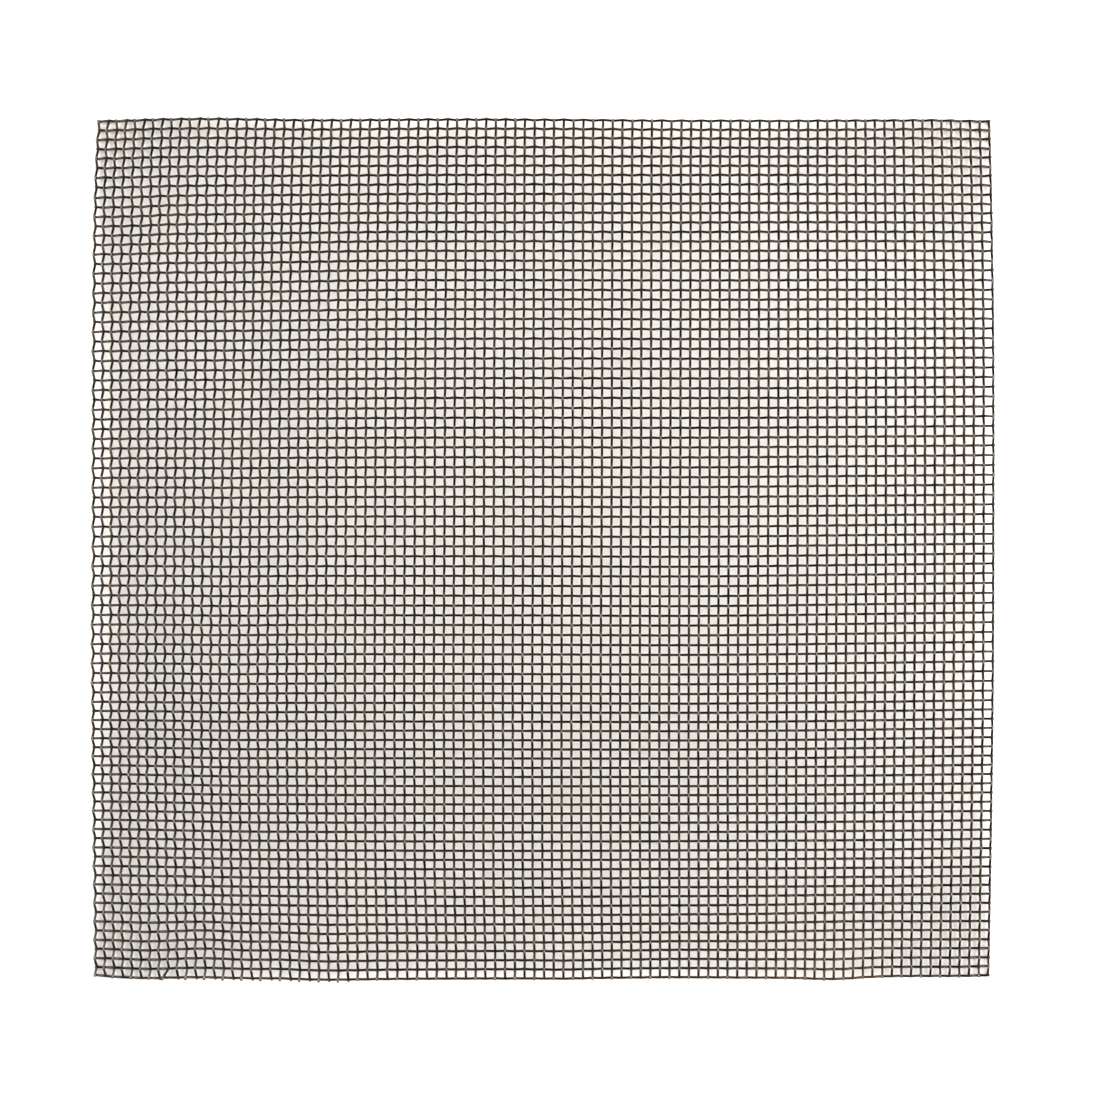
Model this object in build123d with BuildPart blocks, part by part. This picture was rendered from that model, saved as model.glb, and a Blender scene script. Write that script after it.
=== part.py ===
from build123d import *
import os

# A square of plain woven wire gauze, lying on a flat surface.
#
# Two sets of strands cross at right angles and pass over and under each other in turn, so that
# each strand is crimped up at one crossing and down at the next. The sheet is a little domed and
# rests on its four corners.
#
# The real cloth has 94 wires one way and 91 the other. Here a flat strand stands for each bundle
# of about eight wires. It is as thick as one wire, and as wide as leaves the real share of open
# area, so the outline, the thickness, the over and under order and the openness are the real ones.
#
# Millimetres. X runs across, Y runs up the sheet as it is looked down on, Z is up.
# The origin is below the middle of the sheet, level with the surface that its corners rest on.

# Driving dimensions
sheet_width = 150.6  # along X, over the outermost strands
sheet_length = 143.8  # along Y, over the outermost strands
wire_diameter = 0.42  # thickness of a strand; two of them cross in the sheet's whole thickness
strand_width = 3.35  # leaves 55 percent of the sheet open, as the wires do
warp_count = 12  # strands that run along Y
weft_count = 11  # strands that run along X
dome_height = 4.0  # how much higher the middle of the sheet lies than its corners


def spread(length, count):
    """Middle lines of the strands: evenly spaced, the outermost ones flush with the sides."""
    first = (strand_width - length) / 2
    pitch = (length - strand_width) / (count - 1)
    return [first + pitch * place for place in range(count)]


# Places of the strands. The first warp strand is at the left, the first weft strand at the top.
warp_places = spread(sheet_width, warp_count)
weft_places = spread(sheet_length, weft_count)[::-1]


def contact_height(x, y):
    """Height of the plane in which the two strands that cross at this place touch."""
    across = x / warp_places[-1]
    along = y / weft_places[0]
    return wire_diameter + dome_height * (1 - (across**2 + along**2) / 2)


def warp_is_over(column, row):
    """Plain weave: the warp strand passes over at every other crossing."""
    return (column + row) % 2 == 0


def strand_profile(crossings):
    """Closed side view of one crimped strand.

    Each crossing is (place along the strand, contact height, whether this strand is over). The
    strand is flat where another one crosses it, and slants from each crossing to the next.
    """
    lower = []
    for place, contact, over in crossings:
        bottom = contact if over else contact - wire_diameter
        lower.append((place - strand_width / 2, bottom))
        lower.append((place + strand_width / 2, bottom))
    upper = [(place, bottom + wire_diameter) for place, bottom in reversed(lower)]
    return lower + upper


def warp_profile(column):
    x = warp_places[column]
    crossings = [
        (y, contact_height(x, y), warp_is_over(column, row)) for row, y in enumerate(weft_places)
    ]
    return strand_profile(crossings[::-1])


def weft_profile(row):
    y = weft_places[row]
    crossings = [
        (x, contact_height(x, y), not warp_is_over(column, row))
        for column, x in enumerate(warp_places)
    ]
    return strand_profile(crossings)


with BuildPart() as gauze:
    # Warp strands, each drawn on its left side
    for column, x in enumerate(warp_places):
        with BuildSketch(Plane.YZ.offset(x - strand_width / 2)):
            with BuildLine():
                Polyline(*warp_profile(column), close=True)
            make_face()
    # Weft strands, each drawn on the side towards +Y, from which the plane faces -Y
    for row, y in enumerate(weft_places):
        with BuildSketch(Plane.XZ.offset(-y - strand_width / 2)):
            with BuildLine():
                Polyline(*weft_profile(row), close=True)
            make_face()
    # All strands at once, joined where they touch at the crossings
    extrude(amount=strand_width)

gauze.part.label = "gauze"

os.makedirs("parts", exist_ok=True)
export_step(gauze.part, "parts/gauze.step")

open_across = 1 - warp_count * strand_width / sheet_width
open_along = 1 - weft_count * strand_width / sheet_length
print("gaps", (warp_count - 1) * (weft_count - 1))
print("open share", round(open_across * open_along, 3))
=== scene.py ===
import math

import bpy
import numpy as np
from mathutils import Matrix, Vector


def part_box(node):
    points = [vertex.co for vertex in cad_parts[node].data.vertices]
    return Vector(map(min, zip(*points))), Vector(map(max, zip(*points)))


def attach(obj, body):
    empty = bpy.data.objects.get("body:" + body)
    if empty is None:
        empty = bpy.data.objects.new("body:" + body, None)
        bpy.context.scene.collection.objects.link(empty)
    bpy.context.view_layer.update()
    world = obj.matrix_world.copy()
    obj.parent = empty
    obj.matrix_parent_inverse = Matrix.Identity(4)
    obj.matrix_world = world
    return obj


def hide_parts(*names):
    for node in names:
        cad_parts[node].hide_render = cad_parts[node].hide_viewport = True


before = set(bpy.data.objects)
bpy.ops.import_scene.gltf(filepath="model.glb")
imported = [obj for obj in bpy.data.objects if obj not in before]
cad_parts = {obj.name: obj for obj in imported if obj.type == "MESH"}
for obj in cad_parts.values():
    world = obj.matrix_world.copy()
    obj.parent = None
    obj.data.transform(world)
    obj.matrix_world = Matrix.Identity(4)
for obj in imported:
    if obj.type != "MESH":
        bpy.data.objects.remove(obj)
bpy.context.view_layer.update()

GAUZE_LOW, GAUZE_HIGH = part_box("gauze")

MM = 0.001
RANDOM = np.random.RandomState(11)

# The cloth: counts of wires, and the sizes that the solid gives
WARP_COUNT = 94  # wires that run up and down the photograph
WEFT_COUNT = 91  # wires that run across it
WIRE = 0.42 * MM
HALF_WIDTH = (GAUZE_HIGH[0] - GAUZE_LOW[0] - WIRE) / 2
HALF_LENGTH = (GAUZE_HIGH[1] - GAUZE_LOW[1] - WIRE) / 2
DOME = 4.0 * MM  # the middle of the sheet lies this much higher than its corners

# The mesh of one wire
SIDES = 8
STATIONS = (0.0, 0.2, 0.8)  # places of the rings between one crossing and the next
STRAIGHTNESS = 0.6  # 0 is a cosine wave, 1 is straight from crown to crown
CRIMP = 0.57 * WIRE  # how far a crown rises; over half a wire, so that crossing wires keep clear
WIRES_PER_PIECE = 32

# The cut ends, in wire thicknesses past the outermost crossing. The warp sticks out more at the
# left of the top, which is end 0, and at the left of the bottom: (wires, end, extra length)
STUBS = (0.5, 0.65)
LONGER_STUBS = ((slice(0, 45), 0, 0.15), (slice(7, 28), 1, 0.45))

# Closer spacing: by what share of the pitch, and over how many wires that fades
LEFT_CLOSER, LEFT_FADE = 0.068, 13
TOP_CLOSER, TOP_FADE = 0.05, 9
LOW_CLOSER, LOW_FADE, LOW_FROM = 0.062, 5, 57.5  # from this row down

# Random unevenness of each wire, of broad areas and of each crossing
WARP_JITTER = 0.012 * MM
WEFT_JITTER = 0.014 * MM
AREA_JITTER, AREA_KNOTS, KNOT_REACH = 0.03 * MM, 9, 0.9
CROSSING_JITTER = 0.006 * MM

# Corners drawn in along X, and the rows over which that fades
TOP_LEFT_PULL, TOP_REACH = 0.50 * MM, 4.0
TOP_RIGHT_PULL, TOP_RIGHT_REACH = 0.40 * MM, 9.0
LOW_RIGHT_PULL, LOW_RIGHT_FROM = 0.58 * MM, 33  # grows from this row down

# Waves of the top and the bottom side along Y: (amount in mm, column, reach across)
TOP_WAVES = ((0.22, 12, 7), (-0.16, 55, 28))
BOTTOM_WAVES = ((-0.18, 6, 3), (-0.20, 24, 8), (0.30, 82, 8), (0.20, 60, 10))
BOTTOM_REACH = 5.0  # rows

# Long leans. Places and reaches are shares of the sheet, across it or down it
LEAN_LEFT, LEAN_LEVEL, LEAN_DROP = 0.62 * MM, 0.72, 0.36
LEAN_NARROW, LEAN_PLACE, LEAN_REACH = 0.75, 0.23, 0.2  # this share of it is a narrow bump
LEAN_WIDE = 0.35  # and this share spans the whole sheet
TOP_SWAY, SWAY_PLACE, SWAY_REACH = 0.25 * MM, 0.75, 0.2  # to the right, along the top
RIGHT_RISE, RISE_EDGE, RISE_SKEW = 0.42 * MM, 4, 0.7  # powers that keep it right and high up
BAND_RISE, BAND_LEVEL, BAND_DROP = 0.15 * MM, 0.75, 0.1  # a band of rows, more to the right
LEANS_Y = (
    (-0.13, 0, 0.3, 0.3, 0.25),
    (0.33, 0, 0.13, 0.8, 0.15),
    (0.16, 0.45, 0.2, 0.2, 0.13),
)

# Slipped weft wires at the left: around a row, and up to a column over which it fades
SLIP, SLIP_ROW, SLIP_REACH = 0.12 * MM, 9.5, 2.5
SLIP_COLUMN, SLIP_FADE = 5.5, 2

# Zigzag of the crossings in mm, where a warp wire is on top: further left, and lower
ZIGZAG_LEFT = 0.023
MORE_AT_LEFT, MORE_REACH = 0.115, 22  # columns
LESS_AT_TOP, LESS_REACH = 0.25, 14  # share of the line above, rows
LESS_AT_RIGHT, LESS_FROM, LESS_FADE = 0.025, 72, 20  # columns
ZIGZAG_LOW = 0.031
LOW_TILT = 0.012  # more at the top, and again at the left around the middle rows
TILT_LEVEL, TILT_DROP = 0.55, 0.4  # shares of the sheet, down it

# Dents and pulled places: amount in mm, column, reach across, row, reach along
DENTS_X = (
    (0.25, 2, 9, 0, 9),
    (0.12, 17, 6, 1, 4),
    (0.28, 14.5, 3.5, 20, 15),
    (0.20, 5.5, 2, 10, 2.5),
    (-0.14, 29, 9, 30, 30),
    (0.15, 0, 4, 44, 7),
    (-0.20, 15, 8, 61, 13),
    (0.16, 0, 5, 82, 14),
    (0.12, 7, 6, 87, 6),
    (-0.14, 17, 2.5, 86, 5),
    (0.20, 34, 4, 86, 5),
    (0.10, 40, 9, 69, 11),
    (0.25, 45, 12, 88, 6),
    (0.12, 72, 12, 1, 5),
    (-0.17, 69, 22, 54, 32),
    (-0.75, 8, 0.4, 90, 0.4),  # the slanted end, the one place where wires still cut each other
)
DENTS_Y = (
    (-0.10, 2, 5, 10, 4),
    (0.085, 7, 4, 2, 4),
    (-0.09, 0, 6, 12, 18),
    (-0.10, 24, 8, 0, 3),
    (0.13, 31, 8, 16, 8),
    (-0.15, 64, 12, 0, 3),
    (0.21, 77, 18, 15, 9),
    (-0.11, 15, 5, 50, 25),
    (-0.09, 45, 60, 48, 7),
    (-0.14, 63, 12, 48, 15),
    (-0.12, 68, 18, 64, 9),
    (0.26, 12, 3, 86, 3),
    (-0.115, 5, 2.5, 86, 4),
    (-0.15, 25, 3, 86, 4),
    (0.13, 20, 2, 88, 3),
    (0.14, 42, 18, 89, 4),
    (0.28, 79, 9, 85, 4),
    (-0.17, 78, 6, 91, 2),
    (0.20, 93, 7, 86, 7),
    (0.22, 0, 1.2, 90, 0.7),
    (-0.30, 77, 3.2, 90, 3),
    (0.14, 93, 2, 90, 2),
    (-0.12, 73, 6, 1.5, 2.5),
    (0.10, 87, 4, 1, 3),
    (-0.10, 49, 2.5, 89, 2.5),
    (0.11, 62, 5, 87, 2.5),
)

# Patches of rust: (x, y, reach, amount), the first three in mm
RUST_SPOTS = (
    (52.8, -69.0, 6.0, 0.3),
    (43.0, -68.5, 9.0, 0.25),
    (69.0, 68.3, 6.0, 0.12),
    (-70.7, 69.9, 3.5, 0.25),
    (-62.4, 55.7, 3.5, 0.25),
)

# Finish of the wire
NEAR_BLACK = (0.0034, 0.0018, 0.0010, 1)
BROWN_OXIDE = (0.0200, 0.0082, 0.0032, 1)
RUST = (0.115, 0.040, 0.014, 1)
# Rubbed crowns: real wear to greyer metal, and also a painted highlight on the tops of the
# crossings
WORN_METAL_AND_HIGHLIGHT = (0.155, 0.128, 0.109, 1)
TONE_SHARE = 0.22  # how much the brown differs from wire to wire
SPECK_RUST = 0.6  # amount of rust in the small specks
WEFT_WEAR_AND_HIGHLIGHT = 0.70  # the weft crowns are hardly rubbed, and get little of the painted highlight
WORN_AND_HIGHLIGHT_METALLIC = 0.5  # fully metallic crowns look black where they have nothing to reflect
RUST_ROUGHNESS = 0.8
OXIDE_SPECULAR = 0.36
BUMP_STRENGTH, BUMP_DEPTH = 0.12, 0.02 * MM

# The floor, the lamps and the room. Lamps: name, place and side in metres, power in watts
FLOOR_HALF = 3.0
FLOOR_COLOUR = (0.80, 0.775, 0.725, 1)
FLOOR_ROUGHNESS = 0.9
FLOOR_SPECULAR = 0.1
SOFT_LAMPS = (
    ("left_lamp", (-0.62, 0.15, 0.58), 0.62, 9.8),
    ("right_lamp", (0.54, -0.15, 0.50), 0.56, 7.4),
    ("near_lamp", (0.24, 0.17, 0.32), 0.36, 1.85),
)
GLINT_LAMPS = (
    ("left_glint", (-0.64, 0.13, 0.50), 0.26, 5.0),
    ("right_glint", (0.56, -0.13, 0.43), 0.26, 4.4),
)
ROOM_COLOUR = (1, 1, 1, 1)
ROOM_STRENGTH = 0.42

# The photograph's view: a camera straight above, a little beside the middle of the sheet
PHOTO_SIDE_PX = 1100
VIEW_DISTANCE_PX = 2500
CAMERA_PLACE = (1.087 * MM, -0.187 * MM, 419.4 * MM)
SENSOR_MM = 36.0
NEAREST, FARTHEST = 0.01, 20  # metres that the camera sees


def bell(values, middle, width):
    """A smooth bump of height 1."""
    return np.exp(-(((values - middle) / width) ** 2))


def ramp(values):
    """0 below 0, 1 above 1, smooth between."""
    held = np.clip(values, 0, 1)
    return held * held * (3 - 2 * held)


def alternate(numbers):
    """1 for even numbers, -1 for odd ones."""
    return np.where(numbers % 2 == 0, 1, -1)


def waves(table, column):
    """Sum of bumps (amount in mm, column, reach), in mm."""
    return sum(amount * bell(column, place, reach) for amount, place, reach in table)


def bumps(table, across, down):
    """Sum of bumps (amount in mm, place and reach across, place and reach down), in metres."""
    return sum(
        amount * MM * bell(across, place, reach) * bell(down, level, drop)
        for amount, place, reach, level, drop in table
    )


def spaced(pitch, half):
    """Places of wires from -half to half, with these relative pitches between them."""
    steps = np.concatenate([[0], np.cumsum(pitch)])
    return half * (2 * steps / steps[-1] - 1)


def soft_noise():
    """A smooth random field over all crossings, with about unit size, from a small random grid."""
    grid = RANDOM.normal(size=(AREA_KNOTS, AREA_KNOTS))

    def spread(count):
        places = np.linspace(0, AREA_KNOTS - 1, count)
        weights = np.array([bell(np.arange(AREA_KNOTS), place, KNOT_REACH) for place in places])
        return weights / weights.sum(axis=1, keepdims=True)

    field = spread(WEFT_COUNT) @ grid @ spread(WARP_COUNT).T
    return field / field.std()


def straight_grid(column, row):
    """The crossings with the wires' own spacing, before anything leans."""
    warp_gap = np.arange(WARP_COUNT - 1) + 0.5
    weft_gap = np.arange(WEFT_COUNT - 1) + 0.5
    warp_pitch = 1 - LEFT_CLOSER * np.exp(-warp_gap / LEFT_FADE)
    weft_pitch = 1 - TOP_CLOSER * np.exp(-weft_gap / TOP_FADE)
    weft_pitch = weft_pitch - LOW_CLOSER * ramp((weft_gap - LOW_FROM) / LOW_FADE)
    warp_jitter = RANDOM.normal(scale=WARP_JITTER, size=WARP_COUNT)
    weft_jitter = RANDOM.normal(scale=WEFT_JITTER, size=WEFT_COUNT)
    x = spaced(warp_pitch, HALF_WIDTH) + warp_jitter
    y = -spaced(weft_pitch, HALF_LENGTH) + weft_jitter
    return x[column], y[row]


def zigzag(column, row, across, down):
    """How far left and how low a crossing lies where a warp wire is on top, in mm."""
    left_side = MORE_AT_LEFT * bell(column, 0, MORE_REACH)
    left = ZIGZAG_LEFT + left_side * (1 - LESS_AT_TOP * bell(row, 0, LESS_REACH))
    left = left - LESS_AT_RIGHT * ramp((column - LESS_FROM) / LESS_FADE)
    low = ZIGZAG_LOW + LOW_TILT * (1 - 2 * down)
    low = low + LOW_TILT * (1 - 2 * across) * bell(down, TILT_LEVEL, TILT_DROP)
    return left, low


def crossings():
    """X and Y of every crossing, as arrays [row, column], the first row at the top."""
    column, row = np.meshgrid(np.arange(WARP_COUNT), np.arange(WEFT_COUNT))
    across = column / (WARP_COUNT - 1)
    down = row / (WEFT_COUNT - 1)
    x, y = straight_grid(column, row)

    # The sides: the corners are drawn in, and the top and the bottom wave
    top = np.exp(-row / TOP_REACH)
    bottom = np.exp(-(WEFT_COUNT - 1 - row) / BOTTOM_REACH)
    taper = np.clip((row - LOW_RIGHT_FROM) / (WEFT_COUNT - 1 - LOW_RIGHT_FROM), 0, 1)
    x = x + TOP_LEFT_PULL * top * (1 - across) ** 2
    x = x - TOP_RIGHT_PULL * np.exp(-row / TOP_RIGHT_REACH) * across**2
    x = x - LOW_RIGHT_PULL * taper**2 * across**2
    y = y + top * MM * waves(TOP_WAVES, column)
    y = y + bottom * MM * waves(BOTTOM_WAVES, column)

    # Long leans of the wires in the sheet
    lean = LEAN_LEFT * bell(down, LEAN_LEVEL, LEAN_DROP)
    narrow = LEAN_NARROW * bell(across, LEAN_PLACE, LEAN_REACH)
    x = x - lean * (narrow + LEAN_WIDE * np.sin(math.pi * across))
    x = x + TOP_SWAY * bell(across, SWAY_PLACE, SWAY_REACH) * top
    y = y + RIGHT_RISE * across**RISE_EDGE * np.sin(math.pi * down**RISE_SKEW)
    y = y + bumps(LEANS_Y, across, down)
    y = y + BAND_RISE * across * bell(down, BAND_LEVEL, BAND_DROP)

    # Dents, pulled places and the slipped wires
    x = x + bumps(DENTS_X, column, row)
    y = y + bumps(DENTS_Y, column, row)
    slipped = 1 - ramp((column - SLIP_COLUMN) / SLIP_FADE)
    y = y - SLIP * bell(row, SLIP_ROW, SLIP_REACH) * slipped

    x = x + AREA_JITTER * soft_noise() + RANDOM.normal(scale=CROSSING_JITTER, size=x.shape)
    y = y + AREA_JITTER * soft_noise() + RANDOM.normal(scale=CROSSING_JITTER, size=y.shape)

    turn = alternate(column + row)
    left, low = zigzag(column, row, across, down)
    return x - turn * left * MM, y - turn * low * MM


def middle_height(x, y):
    """Height halfway between the middle lines of the two wires at a crossing."""
    dome = DOME * (1 - ((x / HALF_WIDTH) ** 2 + (y / HALF_LENGTH) ** 2) / 2)
    return WIRE / 2 + CRIMP + np.maximum(dome, 0)


def wave(place):
    """From 1 at one crossing to -1 at the next: a bend at each, nearly straight between."""
    return (1 - STRAIGHTNESS) * math.cos(math.pi * place) + STRAIGHTNESS * (1 - 2 * place)


def wire_paths(x, y, over_first):
    """Middle lines of one set of wires, each a row of the arrays x and y, and their lift.

    over_first is 1 where a wire passes over its first crossing and -1 where it passes under.
    The lift goes from 1 where a wire is on top to -1 where it is below.
    """
    count, length = x.shape
    side = over_first[:, None] * alternate(np.arange(length))[None, :]
    stations = []
    for place in STATIONS:
        px = (1 - place) * x[:, :-1] + place * x[:, 1:]
        py = (1 - place) * y[:, :-1] + place * y[:, 1:]
        stations.append((px, py, side[:, :-1] * wave(place)))
    runs = [np.stack(parts, axis=2).reshape(count, -1) for parts in zip(*stations)]
    ends = (x[:, -1:], y[:, -1:], side[:, -1:])
    px, py, lift = (np.concatenate(pair, axis=1) for pair in zip(runs, ends))
    return np.stack([px, py, middle_height(px, py) + lift * CRIMP], axis=2), lift


def with_ends(paths, lift, stubs):
    """The same lines, carried on past the outermost crossings to the cut ends."""
    first_way = paths[:, 0] - paths[:, 1]
    last_way = paths[:, -1] - paths[:, -2]
    first_way /= np.linalg.norm(first_way, axis=1, keepdims=True)
    last_way /= np.linalg.norm(last_way, axis=1, keepdims=True)
    first = paths[:, :1] + (first_way * stubs[:, :1])[:, None]
    last = paths[:, -1:] + (last_way * stubs[:, 1:])[:, None]
    carried_on = np.concatenate([first, paths, last], axis=1)
    carried_on[:, :, 2] = np.maximum(carried_on[:, :, 2], WIRE / 2)  # no end dips into the floor
    return carried_on, np.pad(lift, ((0, 0), (1, 1)), mode="edge")


def rust_at(points):
    """Amount of rust at each point, from the patches."""
    spots = np.zeros(len(points))
    for x, y, reach, amount in RUST_SPOTS:
        near = bell(points[:, 0], x * MM, reach * MM) * bell(points[:, 1], y * MM, reach * MM)
        spots = np.maximum(spots, amount * near)
    return spots


def give_values(mesh, name, values):
    """Give each point of a mesh a number, which the material reads by this name."""
    layer = mesh.attributes.new(name, "FLOAT", "POINT")
    layer.data.foreach_set("value", values.astype(np.float32))


def tube_mesh(name, paths, wear_and_highlight_lift, tones):
    """One mesh of round wires along the given lines."""
    count, length = paths.shape[:2]
    ways = np.gradient(paths, axis=1)
    ways /= np.linalg.norm(ways, axis=2, keepdims=True)
    sideways = np.cross(ways, [0.0, 0.0, 1.0])
    sideways /= np.linalg.norm(sideways, axis=2, keepdims=True)
    upward = np.cross(sideways, ways)
    angles = 2 * math.pi * (np.arange(SIDES) + 0.5) / SIDES
    radius = WIRE / 2 / math.cos(math.pi / SIDES) ** 0.5  # the corners stand out, the flats lie in
    rings = (
        paths[:, :, None]
        + radius * np.cos(angles)[None, None, :, None] * sideways[:, :, None]
        + radius * np.sin(angles)[None, None, :, None] * upward[:, :, None]
    )
    points = rings.reshape(-1, 3)

    number = np.arange(count * length * SIDES).reshape(count, length, SIDES)
    turned = np.roll(number, -1, axis=2)
    sheets = np.stack([number[:, :-1], number[:, 1:], turned[:, 1:], turned[:, :-1]], axis=3)
    quads = sheets.reshape(-1, 4)
    caps = np.concatenate([number[:, 0], number[:, -1, ::-1]])

    mesh = bpy.data.meshes.new(name)
    mesh.vertices.add(len(points))
    mesh.vertices.foreach_set("co", points.astype(np.float32).ravel())
    corners = np.concatenate([quads.ravel(), caps.ravel()])
    starts = np.concatenate([4 * np.arange(len(quads)), quads.size + SIDES * np.arange(len(caps))])
    mesh.loops.add(len(corners))
    mesh.loops.foreach_set("vertex_index", corners.astype(np.int32))
    mesh.polygons.add(len(starts))
    mesh.polygons.foreach_set("loop_start", starts.astype(np.int32))
    smooth = np.concatenate([np.ones(len(quads), bool), np.zeros(len(caps), bool)])
    mesh.update(calc_edges=True)
    mesh.polygons.foreach_set("use_smooth", smooth)
    # the crown lift also marks where the wear and the painted highlight go
    give_values(mesh, "crown", np.repeat(wear_and_highlight_lift.ravel(), SIDES))
    give_values(mesh, "tone", np.repeat(tones, length * SIDES))
    give_values(mesh, "rust", rust_at(points))
    mesh.validate()

    piece = bpy.data.objects.new(name, mesh)
    bpy.context.scene.collection.objects.link(piece)
    return piece


def make_wires(name, paths, wear_and_highlight_lift, material):
    """The wires of one direction, in pieces of neighbouring wires."""
    tones = RANDOM.uniform(size=len(paths))
    for first in range(0, len(paths), WIRES_PER_PIECE):
        chosen = slice(first, first + WIRES_PER_PIECE)
        label = f"{name}_{first // WIRES_PER_PIECE + 1}"
        piece = tube_mesh(label, paths[chosen], wear_and_highlight_lift[chosen], tones[chosen])
        piece.data.materials.append(material)
        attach(piece, "root")
        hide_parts("gauze")


class Nodes:
    """Short ways to add and join shader nodes."""

    def __init__(self, name):
        self.material = bpy.data.materials.new(name)
        self.material.use_nodes = True
        self.tree = self.material.node_tree
        self.shader = self.tree.nodes["Principled BSDF"]

    def feed(self, socket, value):
        if isinstance(value, bpy.types.NodeSocket):
            self.tree.links.new(value, socket)
        else:
            socket.default_value = value

    def attribute(self, name):
        node = self.tree.nodes.new("ShaderNodeAttribute")
        node.attribute_name = name
        return node.outputs["Fac"]

    def noise(self, scale, detail, roughness=0.5):
        """Noise in the object's own space, with scale in features a metre."""
        place = self.tree.nodes.new("ShaderNodeTexCoord")
        node = self.tree.nodes.new("ShaderNodeTexNoise")
        self.feed(node.inputs["Vector"], place.outputs["Object"])
        self.feed(node.inputs["Scale"], scale)
        self.feed(node.inputs["Detail"], detail)
        self.feed(node.inputs["Roughness"], roughness)
        return node.outputs["Fac"]

    def between(self, value, low, high, to_low=0.0, to_high=1.0):
        node = self.tree.nodes.new("ShaderNodeMapRange")
        node.interpolation_type = "SMOOTHSTEP"
        self.feed(node.inputs["Value"], value)
        self.feed(node.inputs["From Min"], low)
        self.feed(node.inputs["From Max"], high)
        self.feed(node.inputs["To Min"], to_low)
        self.feed(node.inputs["To Max"], to_high)
        return node.outputs["Result"]

    def math(self, operation, first, second):
        node = self.tree.nodes.new("ShaderNodeMath")
        node.operation = operation
        self.feed(node.inputs[0], first)
        self.feed(node.inputs[1], second)
        return node.outputs["Value"]

    def mix(self, share, first, second):
        node = self.tree.nodes.new("ShaderNodeMix")
        node.data_type = "RGBA"
        self.feed(node.inputs["Factor"], share)
        self.feed(node.inputs["A"], first)
        self.feed(node.inputs["B"], second)
        return node.outputs["Result"]

    def top_side(self):
        """How far the surface faces up: 1 on top of a wire, 0 at its sides, -1 underneath."""
        place = self.tree.nodes.new("ShaderNodeTexCoord")
        parts = self.tree.nodes.new("ShaderNodeSeparateXYZ")
        self.feed(parts.inputs["Vector"], place.outputs["Normal"])
        return parts.outputs["Z"]


def wire_material():
    """Dark brown oxidised iron wire, rubbed to greyer metal on its crowns, which are also painted
    lighter there as a highlight, with a little rust.
    """
    nodes = Nodes("oxidised_wire")
    blotch = nodes.noise(scale=420, detail=3)
    grain = nodes.noise(scale=9000, detail=4, roughness=0.6)
    fine = nodes.noise(scale=700, detail=5, roughness=0.7)

    # Oxide: near black to brown, blotch by blotch and wire by wire
    tone = nodes.math("MULTIPLY", nodes.attribute("tone"), TONE_SHARE)
    brown = nodes.between(nodes.math("ADD", blotch, tone), low=0.42, high=0.78)
    oxide = nodes.mix(brown, NEAR_BLACK, BROWN_OXIDE)

    # Rust: in the marked patches, and in rare small specks elsewhere
    grainy = nodes.between(grain, low=0.36, high=0.58)
    marked = nodes.math("MULTIPLY", nodes.attribute("rust"), grainy)
    specks = nodes.between(fine, low=0.66, high=0.74)
    rust = nodes.math("MAXIMUM", marked, nodes.math("MULTIPLY", specks, SPECK_RUST))
    rusty = nodes.mix(rust, oxide, RUST)

    # Wear and painted highlight: the upper side of each crown is rubbed down to greyer metal, and
    # this lighter grey on the tops also stands in for the glints on the crossings
    crest = nodes.between(nodes.attribute("crown"), low=0.58, high=0.88)
    upper = nodes.between(nodes.top_side(), low=0.62, high=0.90)
    patchy = nodes.between(blotch, low=0.26, high=0.42)
    clean = nodes.math("SUBTRACT", 1.0, rust)
    wear_and_highlight = nodes.math("MULTIPLY", nodes.math("MULTIPLY", crest, upper), patchy)
    wear_and_highlight = nodes.math("MULTIPLY", wear_and_highlight, clean)
    colour = nodes.mix(wear_and_highlight, rusty, WORN_METAL_AND_HIGHLIGHT)
    nodes.feed(nodes.shader.inputs["Base Color"], colour)
    nodes.feed(nodes.shader.inputs["Metallic"], nodes.math("MULTIPLY", wear_and_highlight, WORN_AND_HIGHLIGHT_METALLIC))

    # Gloss: a smooth oxide skin with a fine grain, duller where it is rusty
    skin = nodes.between(grain, low=0.30, high=0.70, to_low=0.13, to_high=0.25)
    dull = nodes.math("MAXIMUM", skin, nodes.math("MULTIPLY", rust, RUST_ROUGHNESS))
    nodes.feed(nodes.shader.inputs["Roughness"], dull)
    nodes.feed(nodes.shader.inputs["Specular IOR Level"], OXIDE_SPECULAR)

    bump = nodes.tree.nodes.new("ShaderNodeBump")
    nodes.feed(bump.inputs["Height"], grain)
    nodes.feed(bump.inputs["Strength"], BUMP_STRENGTH)
    nodes.feed(bump.inputs["Distance"], BUMP_DEPTH)
    nodes.feed(nodes.shader.inputs["Normal"], bump.outputs["Normal"])
    return nodes.material


def make_floor():
    size = FLOOR_HALF
    mesh = bpy.data.meshes.new("floor")
    corners = [(-size, -size, 0), (size, -size, 0), (size, size, 0), (-size, size, 0)]
    mesh.from_pydata(corners, [], [(0, 1, 2, 3)])
    floor = bpy.data.objects.new("floor", mesh)
    bpy.context.scene.collection.objects.link(floor)
    material = bpy.data.materials.new("pale_floor")
    material.use_nodes = True
    shader = material.node_tree.nodes["Principled BSDF"]
    shader.inputs["Base Color"].default_value = FLOOR_COLOUR
    shader.inputs["Roughness"].default_value = FLOOR_ROUGHNESS
    shader.inputs["Specular IOR Level"].default_value = FLOOR_SPECULAR
    mesh.materials.append(material)


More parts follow.
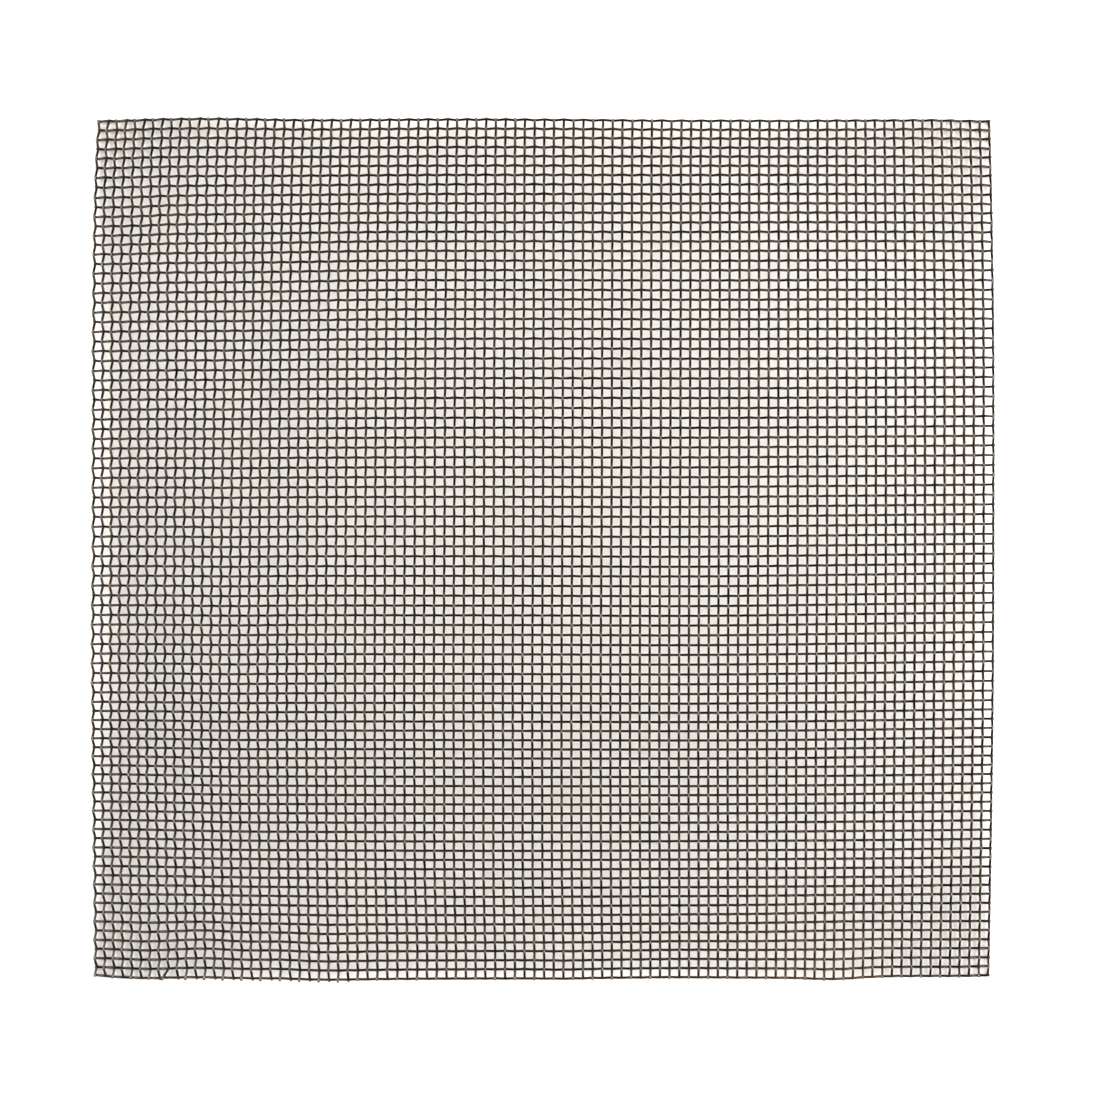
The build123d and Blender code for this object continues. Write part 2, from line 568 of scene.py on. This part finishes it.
def make_light(name, place, size, power, glints):
    """A square lamp that faces the sheet and either makes glints or lights what is dull."""
    data = bpy.data.lights.new(name, "AREA")
    data.shape = "SQUARE"
    data.size = size
    data.energy = power
    light = bpy.data.objects.new(name, data)
    light.location = place
    light.rotation_mode = "QUATERNION"
    light.rotation_quaternion = (-light.location).to_track_quat("-Z", "Y")
    light.visible_camera = False
    light.visible_glossy = glints
    light.visible_diffuse = not glints
    bpy.context.scene.collection.objects.link(light)


def make_lights():
    """A soft lamp at each side and one at the upper right, and a pale room.

    A smaller and lower lamp at each side draws the glints on the wires.
    """
    for lamp in SOFT_LAMPS:
        make_light(*lamp, glints=False)
    for lamp in GLINT_LAMPS:
        make_light(*lamp, glints=True)
    world = bpy.data.worlds.new("room")
    bpy.context.scene.world = world
    world.use_nodes = True
    background = world.node_tree.nodes["Background"]
    background.inputs["Color"].default_value = ROOM_COLOUR
    background.inputs["Strength"].default_value = ROOM_STRENGTH
    world.cycles_visibility.glossy = False


def make_camera():
    data = bpy.data.cameras.new("camera")
    data.sensor_width = SENSOR_MM
    data.lens = SENSOR_MM * VIEW_DISTANCE_PX / PHOTO_SIDE_PX
    data.clip_start = NEAREST
    data.clip_end = FARTHEST
    camera = bpy.data.objects.new("camera", data)
    camera.location = CAMERA_PLACE
    bpy.context.scene.collection.objects.link(camera)
    bpy.context.scene.camera = camera


make_camera()
make_floor()
make_lights()
bpy.context.scene.view_settings.view_transform = "Standard"

cross_x, cross_y = crossings()
warp_starts = alternate(np.arange(WARP_COUNT))
weft_starts = -alternate(np.arange(WEFT_COUNT))
warp_paths, warp_lift = wire_paths(cross_x.T, cross_y.T, warp_starts)
weft_paths, weft_lift = wire_paths(cross_x, cross_y, weft_starts)

warp_stubs = RANDOM.uniform(*STUBS, size=(WARP_COUNT, 2))
weft_stubs = RANDOM.uniform(*STUBS, size=(WEFT_COUNT, 2))
for wires, end, longer in LONGER_STUBS:
    warp_stubs[wires, end] += longer
warp_paths, warp_lift = with_ends(warp_paths, warp_lift, warp_stubs * WIRE)
weft_paths, weft_lift = with_ends(weft_paths, weft_lift, weft_stubs * WIRE)

wire = wire_material()
make_wires("warp_wires", warp_paths, warp_lift, wire)
make_wires("weft_wires", weft_paths, WEFT_WEAR_AND_HIGHLIGHT * weft_lift, wire)
